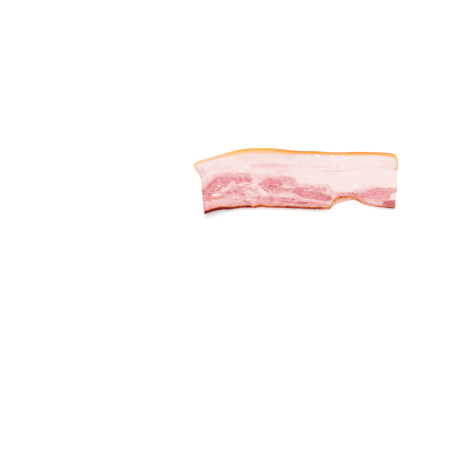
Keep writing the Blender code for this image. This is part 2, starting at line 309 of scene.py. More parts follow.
    (0.72, 1.8, ((-3.4, -9.2, 1.2), (2.0, -8.8, 1.4), (8.0, -9.0, 1.2))),
    (0.76, 2.2, ((-2.6, -11.0, 1.8), (2.0, -12.0, 3.2), (6.0, -13.6, 3.8), (12.0, -14.8, 3.5),
                 (18.0, -15.6, 4.2), (24.0, -17.0, 3.2), (28.4, -18.2, 1.8))),
    (0.74, 1.6, ((2.0, -15.4, 1.2), (5.0, -16.2, 1.0))),
    (0.36, 0.8, ((-3.4, -9.4, 0.2), (-4.8, -11.0, 0.4), (-6.4, -12.8, 0.4))),
    (0.90, 2.2, ((-1.6, -10.8, 1.2), (1.8, -11.0, 1.7), (4.6, -10.8, 1.0))),
    (0.84, 2.0, ((2.4, -14.2, 1.2), (4.6, -15.2, 1.3))),
    (0.90, 1.0, ((6.6, -8.8, 0.4), (10.0, -9.3, 0.5), (13.4, -7.6, 0.5))),
    (0.88, 2.4, ((15.6, -14.0, 1.2), (19.0, -15.2, 1.9), (23.0, -16.4, 1.7))),
    (1.0, 1.4, ((20.8, -15.0, 0.7), (22.8, -15.8, 0.7))),
    (0.86, 1.6, ((17.0, -17.8, 1.0), (23.0, -18.6, 1.2), (27.4, -19.6, 0.9))),
    (0.92, 0.6, ((6.4, -11.6, 0.25), (9.4, -12.0, 0.3), (12.2, -11.7, 0.25))),
    (0.16, 0.7, ((5.8, -10.1, 0.3), (9.2, -10.7, 0.45), (13.4, -10.2, 0.3))),
    (1.14, 1.2, ((27.4, -16.6, 0.9), (29.0, -18.0, 1.0))),
    (0.96, 1.2, ((26.0, -18.6, 0.9), (27.6, -19.4, 0.9))),
    (0.56, 1.8, ((15.0, -9.8, 1.6), (19.5, -9.4, 1.9), (25.0, -10.0, 1.5))),
    (0.62, 1.6, ((9.0, -13.6, 0.8), (11.6, -14.0, 0.8))),
    (0.70, 1.4, ((23.6, -9.2, 0.9), (25.0, -9.0, 0.9))),
    (0.40, 0.8, ((19.4, -7.6, 0.4), (20.0, -5.2, 0.4))),
    (0.40, 0.8, ((25.0, -4.8, 0.4), (27.6, -5.6, 0.5), (29.2, -8.4, 0.4))),
    (0.14, 0.7, ((21.2, -8.8, 0.3), (21.2, -6.2, 0.35), (22.4, -4.6, 0.3))),
    (0.24, 0.7, ((23.0, -8.6, 0.25), (24.2, -6.9, 0.3), (26.6, -7.4, 0.3))),
    (0.12, 0.9, ((24.6, -12.4, 0.4), (27.6, -11.6, 0.9))),
    (0.16, 1.6, ((-14.0, -15.2, 1.1), (-10.0, -15.6, 1.2), (-5.0, -15.0, 1.0), (-2.6, -14.6, 0.6))),
    (0.32, 1.4, ((-3.0, -15.8, 1.2), (0.6, -16.4, 0.9))),
    (0.18, 1.2, ((2.0, -17.8, 0.4), (8.0, -18.7, 0.6), (14.0, -19.8, 0.6), (19.0, -20.9, 0.7),
                 (24.0, -21.5, 0.5), (28.0, -22.1, 0.4))),
    # Long streaks along the smoked face.
    (0.58, 2.2, ((-33.0, -18.4, 2.0), (-24.0, -19.4, 2.4), (-14.0, -20.4, 2.8), (-2.0, -21.6, 2.8),
                 (8.0, -22.4, 2.2), (18.0, -23.6, 1.5), (28.0, -24.8, 1.0))),
    (0.70, 2.0, ((-36.0, -22.8, 1.0), (-26.0, -22.8, 1.4), (-16.0, -23.4, 1.1), (-2.0, -24.4, 0.8))),
    (0.68, 1.6, ((2.0, -24.6, 0.9), (14.0, -25.0, 1.1), (26.0, -25.6, 1.0))),
    (0.84, 1.6, ((-22.6, -17.6, 1.1), (-21.0, -19.6, 1.4))),
    (0.82, 1.0, ((-34.4, -17.0, 0.5), (-31.4, -16.8, 0.6))),
    (0.90, 0.8, ((-13.6, -17.8, 0.5), (-9.0, -18.2, 0.4), (-5.0, -18.8, 0.6), (1.0, -18.3, 0.4))),
    (0.94, 0.9, ((-16.0, -20.4, 0.5), (-12.0, -21.2, 0.7), (-6.0, -21.3, 0.6), (-1.0, -21.8, 0.6),
                 (2.0, -22.0, 0.7))),
    (1.12, 1.0, ((1.0, -22.2, 0.8), (5.0, -22.1, 0.9), (8.6, -22.1, 0.7))),
    (0.72, 1.2, ((11.0, -22.8, 0.9), (18.0, -23.3, 1.0), (24.0, -23.8, 0.8))),
    (0.22, 1.2, ((-19.8, -21.8, 0.6), (-18.2, -20.8, 0.9), (-16.6, -22.0, 0.6))),
    (0.24, 1.0, ((-11.0, -23.2, 0.6), (-4.0, -23.5, 0.6))),
    (0.30, 0.9, ((-2.0, -20.2, 0.35), (9.0, -20.6, 0.4))),
    # Right-hand muscle, which widens to the cut end, and the pockets round it.
    (0.48, 2.8, ((36.5, -14.4, 2.0), (42.0, -14.4, 2.0), (48.0, -14.6, 2.0))),
    (0.56, 1.6, ((36.5, -16.8, 0.8), (42.0, -16.4, 0.8), (47.0, -16.4, 0.8))),
    (0.22, 1.8, ((55.0, -10.2, 1.2), (62.0, -8.2, 1.2), (68.0, -7.0, 1.0))),
    (0.64, 2.0, ((47.5, -14.8, 2.2), (54.0, -15.2, 2.6), (60.0, -15.8, 2.8), (67.0, -14.6, 4.3),
                 (74.0, -14.0, 4.8), (80.0, -13.8, 4.2), (87.5, -12.0, 1.6))),
    (0.62, 1.2, ((61.5, -11.8, 0.6), (66.0, -10.0, 0.9), (70.0, -9.3, 0.9), (77.0, -9.2, 0.9),
                 (84.0, -9.6, 0.7))),
    (0.78, 1.4, ((54.0, -15.8, 0.9), (58.5, -17.2, 0.7))),
    (0.66, 1.8, ((46.0, -15.8, 1.2), (52.0, -16.4, 1.4), (57.0, -17.2, 1.2), (60.0, -17.6, 0.7))),
    (0.56, 1.8, ((61.0, -17.4, 1.4), (68.0, -17.6, 1.9), (76.0, -18.2, 2.2), (79.5, -18.4, 1.6))),
    (0.86, 1.4, ((49.0, -13.4, 0.9), (53.0, -14.8, 1.1), (57.0, -15.6, 0.9))),
    (0.72, 2.2, ((60.0, -13.6, 1.1), (66.0, -12.6, 1.4), (72.0, -12.4, 1.1))),
    (0.72, 2.0, ((62.0, -16.0, 0.8), (66.0, -16.4, 0.9))),
    (0.54, 1.6, ((74.0, -9.4, 1.0), (80.0, -9.8, 1.3), (88.0, -10.2, 1.5))),
    (0.10, 1.6, ((80.8, -18.8, 0.8), (83.4, -16.2, 2.6), (87.5, -14.4, 2.7))),
    (0.25, 1.8, ((58.0, -21.0, 0.8), (63.0, -21.6, 1.4), (68.0, -21.9, 1.4))),
    (0.46, 2.0, ((69.0, -21.2, 1.2), (75.0, -20.4, 1.6))),
    (0.60, 1.6, ((53.0, -17.6, 0.8), (57.0, -19.8, 0.9), (60.5, -22.2, 0.9))),
    (0.66, 1.4, ((56.0, -21.8, 0.7), (61.0, -23.4, 0.8), (66.0, -24.2, 0.9), (78.0, -25.2, 1.0))),
    (1.04, 1.4, ((76.8, -23.4, 3.0), (81.0, -23.2, 3.5), (86.0, -23.4, 4.0))),
    (1.2, 1.2, ((77.5, -22.4, 1.1), (82.0, -21.6, 1.0), (84.5, -24.6, 1.0))),
    # Pinker fat between the left and the middle muscle.
    (0.22, 3.0, ((-38.2, 5.6, 1.2), (-36.4, 1.6, 1.3))),
    (0.28, 2.4, ((-35.0, 4.2, 1.0), (-32.6, 0.8, 1.3))),
    # Whitest beads of fat, most of them under the rind, whiter than the fat: partly their own colour,
    # partly painted glints.
    (-0.18, 0.7, ((4.2, 23.6, 0.1), (5.2, 23.5, 0.25))),
    (-0.16, 0.7, ((8.4, 21.8, 0.2), (9.0, 21.6, 0.2))),
    (-0.18, 0.7, ((10.8, 22.2, 0.3), (11.4, 21.7, 0.3))),
    (-0.16, 0.7, ((13.0, 23.2, 0.25), (13.4, 23.1, 0.1))),
    (-0.2, 0.8, ((15.6, 23.1, 0.2), (16.6, 22.8, 0.6), (18.2, 22.6, 0.5))),
    (-0.2, 0.8, ((19.4, 22.3, 0.6), (20.6, 21.7, 0.6), (21.6, 21.2, 0.2))),
    (-0.18, 0.7, ((24.2, 22.3, 0.3), (24.8, 22.6, 0.1))),
    (-0.14, 0.7, ((27.6, 22.0, 0.2), (28.2, 22.2, 0.1))),
    (-0.2, 0.7, ((31.4, 22.6, 0.3), (33.0, 21.8, 0.5))),
    (-0.18, 0.7, ((35.0, 22.9, 0.3), (35.7, 22.2, 0.35))),
    (-0.2, 0.7, ((39.8, 23.0, 0.2), (40.8, 22.4, 0.45), (42.0, 21.5, 0.4))),
    (-0.2, 0.7, ((51.6, -6.9, 0.4), (52.6, -7.3, 0.5))),
    (-0.2, 0.7, ((54.8, -7.8, 0.35), (55.6, -8.1, 0.3))),
    (-0.1, 0.7, ((-54.4, 13.4, 0.2), (-53.2, 13.7, 0.2))),
    (-0.16, 0.7, ((-46.0, 12.3, 0.35), (-44.8, 11.6, 0.35))),
    (-0.1, 0.7, ((-49.4, 9.9, 0.25), (-48.4, 9.7, 0.25))),
    (-0.12, 0.7, ((-44.8, 9.6, 0.3), (-43.6, 9.3, 0.3))),
    # Finest threads over the left muscle, and painted glints, whiter than any fat, in the back fat
    # and along the puckers' ridges.
    (-0.05, 0.8, ((-64.0, 7.4, 0.3), (-60.0, 7.8, 0.3))),
    (-0.05, 0.8, ((-51.0, 7.6, 0.3), (-43.6, 7.9, 0.3))),
    (0.36, 0.6, ((-81.6, -6.2, 0.25), (-80.6, -1.5, 0.3), (-77.4, 2.4, 0.3), (-75.2, 4.3, 0.2))),
    (-0.08, 0.6, ((-80.8, -7.0, 0.1), (-79.2, -2.8, 0.2), (-75.6, 2.6, 0.2), (-73.6, 3.9, 0.1))),
    (-0.08, 0.6, ((-82.4, -3.5, 0.1), (-80.4, 1.6, 0.2), (-77.0, 5.2, 0.1))),
    (0.08, 0.6, ((-71.4, -10.4, 0.1), (-69.2, -8.4, 0.2), (-67.0, -6.7, 0.1))),
    (-0.04, 0.6, ((-50.8, -4.7, 0.1), (-48.4, -4.4, 0.25), (-43.0, -4.0, 0.25))),
    (-0.06, 0.6, ((-50.6, -5.9, 0.2), (-48.6, -6.0, 0.3), (-45.4, -6.1, 0.1))),
    (-0.04, 0.6, ((6.4, -10.2, 0.1), (9.4, -10.9, 0.3), (13.2, -10.4, 0.1))),
    # Along the left end runs a thin darker line of painted shade, for its cut wall in shadow.
    (0.62, 0.8, ((-89.6, 10.4, 0.4), (-87.8, 8.4, 0.6), (-85.6, 6.0, 0.8), (-84.2, 3.0, 0.9),
                 (-83.8, -1.0, 0.5), (-83.5, -6.0, 0.2))),
    (1.2, 0.7, ((-83.3, -8.5, 0.5), (-82.6, -12.6, 1.5), (-82.2, -16.0, 1.1), (-81.9, -20.4, 1.1))),
    (1.2, 0.7, ((-81.6, -22.6, 1.0), (-81.1, -30.0, 1.2), (-80.8, -33.0, 1.2))),
)

# Where smoke and drying have turned the meat warmer, and along the left end's line of painted shade,
# in the same way, from 0 to 1.
WARM_STROKES = (
    (0.34, 6.0, ((-52.0, 22.5, 3.4), (-30.0, 24.4, 4.0), (-6.0, 22.6, 3.0))),
    (1.00, 2.8, ((36.8, -15.0, 2.4), (42.0, -15.0, 2.8), (49.0, -15.8, 1.8), (58.0, -18.6, 1.2))),
    (0.90, 2.0, ((53.0, -18.4, 0.8), (58.0, -21.0, 1.2), (62.0, -23.2, 1.0))),
    (0.85, 1.8, ((61.0, -23.6, 1.0), (66.0, -24.2, 1.0), (76.0, -25.2, 0.8))),
    (0.46, 3.0, ((76.0, -10.4, 1.6), (88.0, -10.4, 1.8))),
    (0.40, 2.0, ((77.0, -24.0, 2.4), (86.0, -24.0, 3.0))),
    (0.50, 2.0, ((-80.5, 0.5, 0.8), (-77.5, -2.0, 1.0))),
    (0.40, 3.0, ((-80.0, -18.4, 1.8), (-66.0, -17.0, 1.8), (-56.0, -12.4, 1.8))),
    (0.45, 3.0, ((-38.0, -22.4, 1.4), (-26.0, -22.4, 1.8), (0.0, -24.6, 1.4), (22.0, -25.2, 1.2))),
    (0.80, 1.4, ((1.0, -22.0, 0.9), (9.0, -22.0, 0.8))),
    (0.80, 1.2, ((-31.0, -7.0, 0.4), (-28.0, -9.6, 0.6), (-24.6, -12.2, 0.9))),
    (0.50, 3.0, ((-22.6, -17.6, 1.1), (-21.0, -19.6, 1.4))),
    (0.50, 2.0, ((-77.0, -7.4, 0.9), (-74.6, -4.0, 1.0))),
    (0.55, 1.0, ((-81.6, -6.2, 0.4), (-80.6, -1.5, 0.5), (-77.4, 2.4, 0.5), (-75.2, 4.3, 0.4))),
    (0.55, 4.0, ((-77.0, -27.0, 2.4), (-64.0, -24.6, 2.4), (-48.0, -23.0, 2.4))),
    # The left end's line of painted shade, warmer too.
    (0.90, 1.2, ((-89.8, 10.8, 0.7), (-87.8, 8.6, 0.9), (-85.6, 6.2, 1.0), (-84.2, 2.0, 1.0),
                 (-83.3, -9.0, 0.5), (-81.8, -21.0, 0.6), (-80.8, -33.0, 0.7))),
    (0.50, 0.9, ((42.0, 7.6, 0.2), (46.0, 8.6, 0.35), (57.5, 11.2, 0.4), (70.0, 12.3, 0.4),
                 (83.0, 10.8, 0.4), (88.0, 9.4, 0.4))),
    (0.60, 1.2, ((20.6, 8.0, 0.3), (30.0, 7.5, 0.4), (41.5, 7.6, 0.4))),
)

# The belly's layers run between its upper boundary and its foot, as (x, y) in millimetres. Their
# streaked tone sets in across the boundary, over BELLY_BLEND.
BELLY_TOP = ((-90, -6), (-82, -2), (-75, 4), (-64, 7.5), (-48, 7), (-38, 5.5), (-20, 4.5), (-4, 1.8),
             (2, -3), (8, -5), (22, -5), (29, -8.5), (35, -12), (46, -11.8), (56, -8.5), (68, -6),
             (78, -7.6), (90, -8.8))
BELLY_FOOT = ((-90, -33), (-80, -30), (-66, -27), (-40, -26), (0, -26), (30, -27), (90, -27))
BELLY_DEPTH = 22.0
BELLY_BLEND = (2.0, -3.0)
BELLY_TONE = 0.27
STREAK_TONE = 0.2
STREAK_SIZE = (6.5, 1.1)
# Tone of the fat, and how much pinker it gets leftward, from one x to the other.
FAT_TONE = 0.06
PINKER_LEFT = 0.04
PINKER_FROM = (35.0, -15.0)

# How far strokes stray from their lines and fray at their sides, and over what length. The softest
# ones fray no more than MOST_FRAYED. Warm patches and beads stray less, by LIGHT_WANDER.
BIG_WANDER = (0.6, 5.5)
SMALL_WANDER = (0.35, 1.9)
FRAY = (0.85, 1.25)
MOST_FRAYED = 2.4
LIGHT_WANDER = 0.6
# How much the pattern changes from the top face to the underside, in patches, and how many times
# as much its finest grains change.
CHANGE_BELOW = 1.1
FINEST_CHANGE = 3.0
# Tones between which fat turns to lean.
LEAN_TONES = (0.2, 0.75)


def soft_step(value, low, high):
    """Ease from 0 at low to 1 at high."""
    t = np.clip((value - low) / (high - low), 0.0, 1.0)
    return t * t * (3.0 - 2.0 * t)


def grain(x, y, z, seed):
    """Smooth noise from -1 to 1, with patches of about one unit. Each seed is another pattern."""
    return np.array([noise.noise(Vector(spot)) for spot in zip(x + seed, y - seed, z)])


def inside_stroke(path, x, y):
    """How far inside a stroke each point lies: positive within its half width, negative outside."""
    inside = np.full(x.shape, -np.inf)
    for (x0, y0, w0), (x1, y1, w1) in zip(path, path[1:]):
        run_x, run_y = x1 - x0, y1 - y0
        along = np.clip(((x - x0) * run_x + (y - y0) * run_y) / (run_x**2 + run_y**2), 0.0, 1.0)
        away = np.hypot(x - x0 - along * run_x, y - y0 - along * run_y)
        inside = np.maximum(inside, w0 + along * (w1 - w0) - away)
    return inside


def brush_on(strokes, base, x, y, fraying):
    """Lay the strokes over a base in turn. A softer stroke has a more frayed side."""
    laid = base.copy()
    for target, softness, path in strokes:
        inside = inside_stroke(path, x, y) + fraying * min(softness, MOST_FRAYED) / 2
        laid += (target - laid) * soft_step(inside, -softness / 2, softness / 2)
    return laid


mm_x, mm_y = plan_x * 1000.0, plan_y * 1000.0
below = (1.0 - level) * CHANGE_BELOW
wander_x, wander_y = np.zeros_like(mm_x), np.zeros_like(mm_y)
for (reach, length), seed_x, seed_y in ((BIG_WANDER, 3.0, 11.0), (SMALL_WANDER, 5.0, 17.0)):
    wander_x += reach * grain(mm_x / length, mm_y / length, below, seed_x)
    wander_y += reach * grain(mm_x / length, mm_y / length, below, seed_y)
fray = FRAY[0] * grain(mm_x / FRAY[1], mm_y / FRAY[1], below, 23.0)

belly_top = follow(BELLY_TOP, mm_x)
belly_foot = follow(BELLY_FOOT, mm_x)
across = BELLY_DEPTH * (mm_y - belly_foot) / (belly_top - belly_foot)
across = np.where(mm_y > belly_top, BELLY_DEPTH + mm_y - belly_top, across)
in_belly = soft_step(across + wander_y, BELLY_DEPTH + BELLY_BLEND[0], BELLY_DEPTH + BELLY_BLEND[1])
streaks = grain(mm_x / STREAK_SIZE[0], across / STREAK_SIZE[1], below, 31.0)
base = FAT_TONE + PINKER_LEFT * soft_step(mm_x, *PINKER_FROM)
base += in_belly * (BELLY_TONE + STREAK_TONE * streaks)

light_x, light_y = mm_x + LIGHT_WANDER * wander_x, mm_y + LIGHT_WANDER * wander_y
tone = brush_on(STROKES, base, mm_x + wander_x, mm_y + wander_y, fray)
warm = brush_on(WARM_STROKES, np.zeros_like(base), light_x, light_y, fray)
meaty = soft_step(tone, *LEAN_TONES)


# ---- Relief ------------------------------------------------------------------------------------
# Lean shrinks a little as it cures, so it lies lower than the fat and shows its bundles of fibre.
# The fat is smooth, with faint waves from the blade, and puckers where threads of lean run in it.
# The slicer cuts a little unevenly, and in five places the slice's edge stands off the table.

# Thickness of the cut, how unevenly it was cut, and how proud the firm rind stands of the fat.
THICKNESS = 0.0027
UNEVENNESS = 0.00016
UNEVEN_PATCH = 0.016
RIND_WIDTH = 0.0026
RIND_LIP = 0.0002
# Where the slice stands off the table: middle (x, y), reach along X and Y, and height.
LIFTS = (
    ((-0.0820, -0.0310), (0.0300, 0.0200), 0.0030),
    ((-0.0900, 0.0130), (0.0170, 0.0150), 0.0018),
    ((0.0120, 0.0290), (0.0260, 0.0150), 0.0016),
    ((0.0900, 0.0220), (0.0200, 0.0160), 0.0012),
    ((0.0280, -0.0280), (0.0160, 0.0110), 0.0012),
)

# Ridges and dents as (height, softness, path), in millimetres.
PUCKERS = (
    (0.17, 0.8, ((-51.5, -4.4, 0.3), (-47.0, -4.1, 0.35), (-42.0, -3.7, 0.3))),
    (0.17, 0.8, ((-51.5, -5.7, 0.3), (-46.5, -6.0, 0.35), (-41.0, -6.6, 0.3))),
    (0.18, 0.8, ((-54.0, -7.4, 0.3), (-48.5, -9.4, 0.35), (-43.0, -9.9, 0.3))),
    (0.17, 0.8, ((-74.0, -11.0, 0.35), (-69.5, -8.4, 0.35), (-66.4, -6.2, 0.3))),
    (0.24, 0.8, ((-75.0, -13.2, 0.35), (-69.6, -11.8, 0.4), (-65.6, -8.6, 0.35), (-61.5, -7.4, 0.3))),
    (0.20, 0.8, ((-72.4, -7.4, 0.3), (-68.4, -4.8, 0.3))),
    (0.15, 0.8, ((-80.8, -7.0, 0.2), (-79.2, -2.8, 0.25), (-75.6, 2.6, 0.25), (-73.6, 3.9, 0.2))),
    (0.12, 0.8, ((-82.4, -3.5, 0.2), (-80.4, 1.6, 0.25), (-77.0, 5.2, 0.2))),
    (0.22, 0.8, ((19.0, -7.6, 0.35), (22.3, -4.6, 0.4), (27.5, -4.8, 0.4), (30.5, -8.6, 0.35))),
    (0.14, 0.8, ((23.0, -8.6, 0.25), (24.2, -6.9, 0.3), (28.0, -8.5, 0.3))),
    (0.24, 0.8, ((5.0, -9.9, 0.35), (9.6, -10.6, 0.4), (14.5, -9.8, 0.35))),
    (-0.18, 0.8, ((-43.5, -13.4, 0.25), (-38.5, -15.7, 0.25), (-35.0, -17.1, 0.25))),
    (-0.16, 0.8, ((-32.8, -5.8, 0.2), (-28.6, -9.2, 0.3), (-24.6, -12.3, 0.3))),
    (0.18, 0.8, ((-20.0, -5.0, 0.3), (-16.5, -5.1, 0.3))),
    (0.16, 0.8, ((-14.0, -23.4, 0.4), (-4.0, -23.7, 0.4))),
    (0.18, 0.8, ((-3.0, -20.2, 0.3), (4.0, -20.5, 0.35), (9.5, -20.7, 0.3))),
    (0.16, 0.8, ((3.0, -18.4, 0.3), (12.0, -19.6, 0.4), (20.0, -20.8, 0.4), (28.0, -21.9, 0.3))),
    (-0.10, 1.0, ((20.6, 8.0, 0.25), (30.0, 7.5, 0.3), (43.5, 7.8, 0.25))),
    (0.10, 1.0, ((23.0, 5.8, 0.3), (38.0, 5.8, 0.3))),
    (-0.10, 1.0, ((44.7, 8.4, 0.2), (57.5, 11.2, 0.3), (70.0, 12.3, 0.3), (88.0, 9.8, 0.3))),
)
# Wet beads of fat, most of them just under the rind, as (x, y, radius, height) in millimetres.
BEADS = (
    (3.6, 23.3, 1.1, 0.195), (6.4, 22.4, 1.0, 0.21), (9.4, 22.9, 1.2, 0.225),
    (12.2, 22.0, 1.0, 0.18), (16.6, 22.9, 1.3, 0.24), (19.6, 21.8, 1.2, 0.225),
    (21.6, 23.0, 1.3, 0.24), (25.0, 21.6, 1.1, 0.195), (33.2, 22.8, 1.1, 0.21),
    (36.4, 22.0, 1.1, 0.21), (39.4, 23.0, 1.3, 0.24), (42.6, 22.2, 1.1, 0.195),
    (-53.8, 13.6, 0.9, 0.135), (-45.4, 12.0, 1.0, 0.195), (-48.9, 9.8, 0.9, 0.135),
    (-44.2, 9.4, 0.9, 0.165), (52.4, -7.4, 1.1, 0.225), (55.8, -8.2, 1.0, 0.18),
    (48.0, -8.8, 0.9, 0.18),
)
BEAD_STRETCH = 1.2
# Heights in metres, and sizes of their patches in millimetres.
LEAN_SINKS = 0.00014
FIBRE_HEIGHT = 0.00013
FIBRE_SIZE = (3.2, 0.85)
LUMP_HEIGHT = 0.00007
LUMP_SIZE = 1.9
FAT_WAVES = 0.00005
FAT_WAVE_SIZE = 4.5
# Crags in the wall: deeper in the smoked face than in the rind's skin.
SMOKED_CRAGS = 0.00022
SKIN_CRAGS = 0.000132
CRAG_SIZE = 1.1

from_rind = (rind_line(share_u)[1] - plan_y) / RIND_WIDTH
patches = grain(plan_x / UNEVEN_PATCH, plan_y / UNEVEN_PATCH, np.full_like(plan_x, 0.5), 0.0)
thick = THICKNESS + UNEVENNESS * patches + RIND_LIP * bump(from_rind)

fibres = grain(mm_x / FIBRE_SIZE[0], across / FIBRE_SIZE[1], below, 41.0)
lumps = grain(mm_x / LUMP_SIZE, mm_y / LUMP_SIZE, below, 47.0)
waves = grain(mm_x / FAT_WAVE_SIZE, mm_y / FAT_WAVE_SIZE, below, 53.0)
relief = meaty * (FIBRE_HEIGHT * fibres + LUMP_HEIGHT * lumps - LEAN_SINKS)
relief += (1.0 - meaty) * FAT_WAVES * waves
for rise, softness, path in PUCKERS:
    inside = inside_stroke(path, mm_x + wander_x, mm_y + wander_y)
    relief += 0.001 * rise * soft_step(inside, -softness / 2, softness / 2)
for bead_x, bead_y, radius, rise in BEADS:
    away = np.hypot((light_x - bead_x) / BEAD_STRETCH, light_y - bead_y)
    relief += 0.001 * rise * bump(away / radius)

up_wall = level * THICKNESS * 1000.0
on_smoked_wall, on_skin = unit_v < 0.001, unit_v > 0.999
crags = in_wall * np.maximum(0.0, grain(mm_x / CRAG_SIZE, up_wall / CRAG_SIZE, below, 61.0))

lift = np.zeros_like(plan_x)
for (lift_x, lift_y), (reach_x, reach_y), most in LIFTS:
    away = np.hypot((plan_x - lift_x) / reach_x, (plan_y - lift_y) / reach_y)
    lift = np.maximum(lift, most * bump(away))
# The top takes the whole relief. The underside takes its hollows alone, as it lies on the table.
height = lift + level * thick + soft_step(level, 0.5, 1.0) * relief
height += soft_step(level, 0.5, 0.0) * np.maximum(0.0, -relief)
points = np.stack([plan_x - MIDDLE[0], plan_y - MIDDLE[1], np.maximum(0.0, height)], axis=1)
points[:, 1] += (SMOKED_CRAGS * on_smoked_wall - SKIN_CRAGS * on_skin) * crags
bacon_mesh.vertices.foreach_set("co", points.astype(np.float32).ravel())


# ---- Rind and smoked face ----------------------------------------------------------------------
# The skin has cured to a hard amber rind, deep and bright in the middle and pale at the left tip.
# It turns the far right corner as a thin line. Smoke has browned the belly's inner face: rust and
# amber along the middle, and orange in the notch. At the left it is nearly black red, partly smoke
# and partly painted shade, and two brighter amber spots along it are painted glints.

# How deep the rind's colour reaches in, in millimetres, and how amber it and the smoke are, from 0
# to 1, all as (x, value). The smoke's amber peaks near -40 and 24 mm are painted glints.
RIND_DEPTHS = ((-90.0, 2.2), (-86.0, 3.0), (-70.0, 3.4), (-60.0, 4.3), (-52.0, 5.8), (-30.0, 6.3),
               (-14.0, 6.0), (-4.0, 5.3), (4.0, 4.4), (10.0, 4.5), (20.0, 4.6), (30.0, 4.0),
               (42.0, 4.2), (54.0, 4.8), (64.0, 4.4), (76.0, 4.2), (83.0, 4.8), (88.2, 4.2))
RIND_AMBER = ((-90.0, 0.0), (-76.0, 0.05), (-64.0, 0.3), (-54.0, 0.5), (-34.0, 0.5), (-24.0, 0.62),
              (-14.0, 0.8), (0.0, 0.95), (14.0, 1.0), (26.0, 0.85), (40.0, 0.9), (74.0, 0.95),
              (82.0, 0.8), (88.2, 0.5))
SMOKE_AMBER_AND_GLINTS = ((-80.8, 0.0), (-58.0, 0.1), (-54.0, 0.6), (-44.0, 0.5), (-40.0, 0.8), (-36.0, 0.55),
               (-33.0, 0.4), (-28.0, 0.25), (-10.0, 0.1), (0.0, 0.25), (8.0, 0.45), (16.0, 0.35),
               (21.0, 0.2), (23.4, 0.9), (25.4, 0.9), (27.4, 0.4), (30.0, 0.5), (34.0, 0.3),
               (38.0, 0.05), (50.0, 0.1), (63.0, 0.1), (67.0, 0.5), (76.0, 0.45), (80.0, 0.0),
               (85.2, 0.0))
AMBER_PATCH = (3.5, 1.6)
AMBER_CHANGE = 0.22
RIND_STEPS = 60
RIND_WANDER = 0.2
# The rind's line starts under the left tip, and ends down the right end, where it is thinner,
# paler and less amber.
LEFT_TIP = (-90.3, 11.6)
DOWN_RIGHT_END = ((89.3, 19.7), (89.8, 15.7), (89.2, 10.6), (87.0, 9.9))
TURNED_FROM = (21.0, 16.0)
TURNED_DEPTH = 2.2
TURNED_PALER = 0.2
TURNED_LESS_AMBER = 0.4
# In its left part the rind is split by a line of paler fat, with a second amber line below that,
# both as (share of the rind's depth, how much paler).
PARTED = (-87.0, -82.0, -66.0, -58.0)
PARTED_LINES = ((0.36, 0.4), (0.74, -0.34))
PARTED_WIDTH = 0.22
PARTED_WANDER = 0.12
# Painted glints and white beads stay clear of the rind's colour. The skin's own colour is on the wall
# alone.
CLEAR_OF_PAINTED_GLINTS = 4.0
SKIN_IN_WALL = (0.2, 0.9)


def within(value, start, full, waning, end):
    """1 from full to waning, easing to 0 at start and at end."""
    return soft_step(value, start, full) * soft_step(value, end, waning)


rind_x, rind_y = (1000.0 * line for line in rind_line(np.linspace(0.0, 1.0, RIND_STEPS)))
rind_path = [(x, y, 0.0) for x, y in (LEFT_TIP, *zip(rind_x, rind_y), *DOWN_RIGHT_END)]
turned = soft_step(mm_y, *TURNED_FROM) * (mm_x > 0.0)
rind_depth = follow(RIND_DEPTHS, mm_x) * (1.0 - turned) + TURNED_DEPTH * turned
from_skin = -inside_stroke(rind_path, mm_x, mm_y + RIND_WANDER * wander_y)
rind = from_skin / rind_depth + TURNED_PALER * turned + CLEAR_OF_PAINTED_GLINTS * np.maximum(0.0, -tone)
far_half = share_v > 0.5
wavering = rind + PARTED_WANDER * wander_y
for share, paler in PARTED_LINES:
    line = far_half * within(mm_x, *PARTED) * bump((wavering - share) / PARTED_WIDTH)
    rind += paler * line
rind_amber = follow(RIND_AMBER, mm_x) * (1.0 - TURNED_LESS_AMBER * turned)
amber = np.where(far_half, rind_amber, follow(SMOKE_AMBER_AND_GLINTS, mm_x))
amber += AMBER_CHANGE * grain(mm_x / AMBER_PATCH[0], mm_y / AMBER_PATCH[1], below, 83.0)
skin = on_skin * soft_step(in_wall, *SKIN_IN_WALL)

# How deep the smoke's colour reaches in, in millimetres, and how dark it is, both as (x, value).
# At the left both take in painted shade as well, and the paler dips near -39 and 25 mm are painted
# glints.
SMOKE_AND_SHADE_DEPTHS = (
    (-80.8, 2.8), (-66.0, 2.6), (-56.0, 2.05), (-48.0, 1.9), (-38.0, 2.2), (-34.0, 2.5),
    (-30.0, 2.3), (-22.0, 1.8), (-8.0, 1.7), (24.0, 1.8), (28.0, 1.7), (32.0, 1.7), (36.0, 2.2),
    (43.0, 2.1), (50.0, 2.1), (56.0, 1.7), (60.0, 0.5), (66.0, 0.35), (70.0, 0.5), (75.0, 0.6),
    (79.0, 0.4), (85.2, 0.35))
SMOKE_SHADE_AND_GLINT_DARKNESS = (
    (-80.8, 1.0), (-66.0, 1.0), (-57.0, 0.9), (-51.0, 0.76), (-46.0, 0.80), (-41.0, 0.84),
    (-38.6, 0.5), (-34.0, 0.62), (-31.0, 0.6), (-27.0, 0.5), (-23.0, 0.46), (-18.0, 0.66),
    (-12.0, 0.6), (-8.0, 0.82), (-3.0, 0.74), (5.0, 0.66), (14.0, 0.72), (20.0, 0.62), (23.0, 0.4),
    (25.0, 0.3), (27.0, 0.4), (29.0, 0.24), (32.0, 0.22), (36.0, 0.40), (42.0, 0.40), (47.0, 0.28),
    (51.0, 0.24), (57.0, 0.30), (64.0, 0.16), (67.0, 0.36), (70.0, 0.52), (75.0, 0.56), (79.0, 0.78),
    (83.0, 0.74), (85.2, 0.3))
# Lengths of the near edge, as the x where each starts, is full, wanes and ends.
NOTCH = (26.0, 30.0, 53.0, 59.0)
NOTCH_CREST = (32.0, 36.0, 45.0, 50.0)
BESIDE_NOTCH = (58.0, 62.0, 65.0, 68.0)
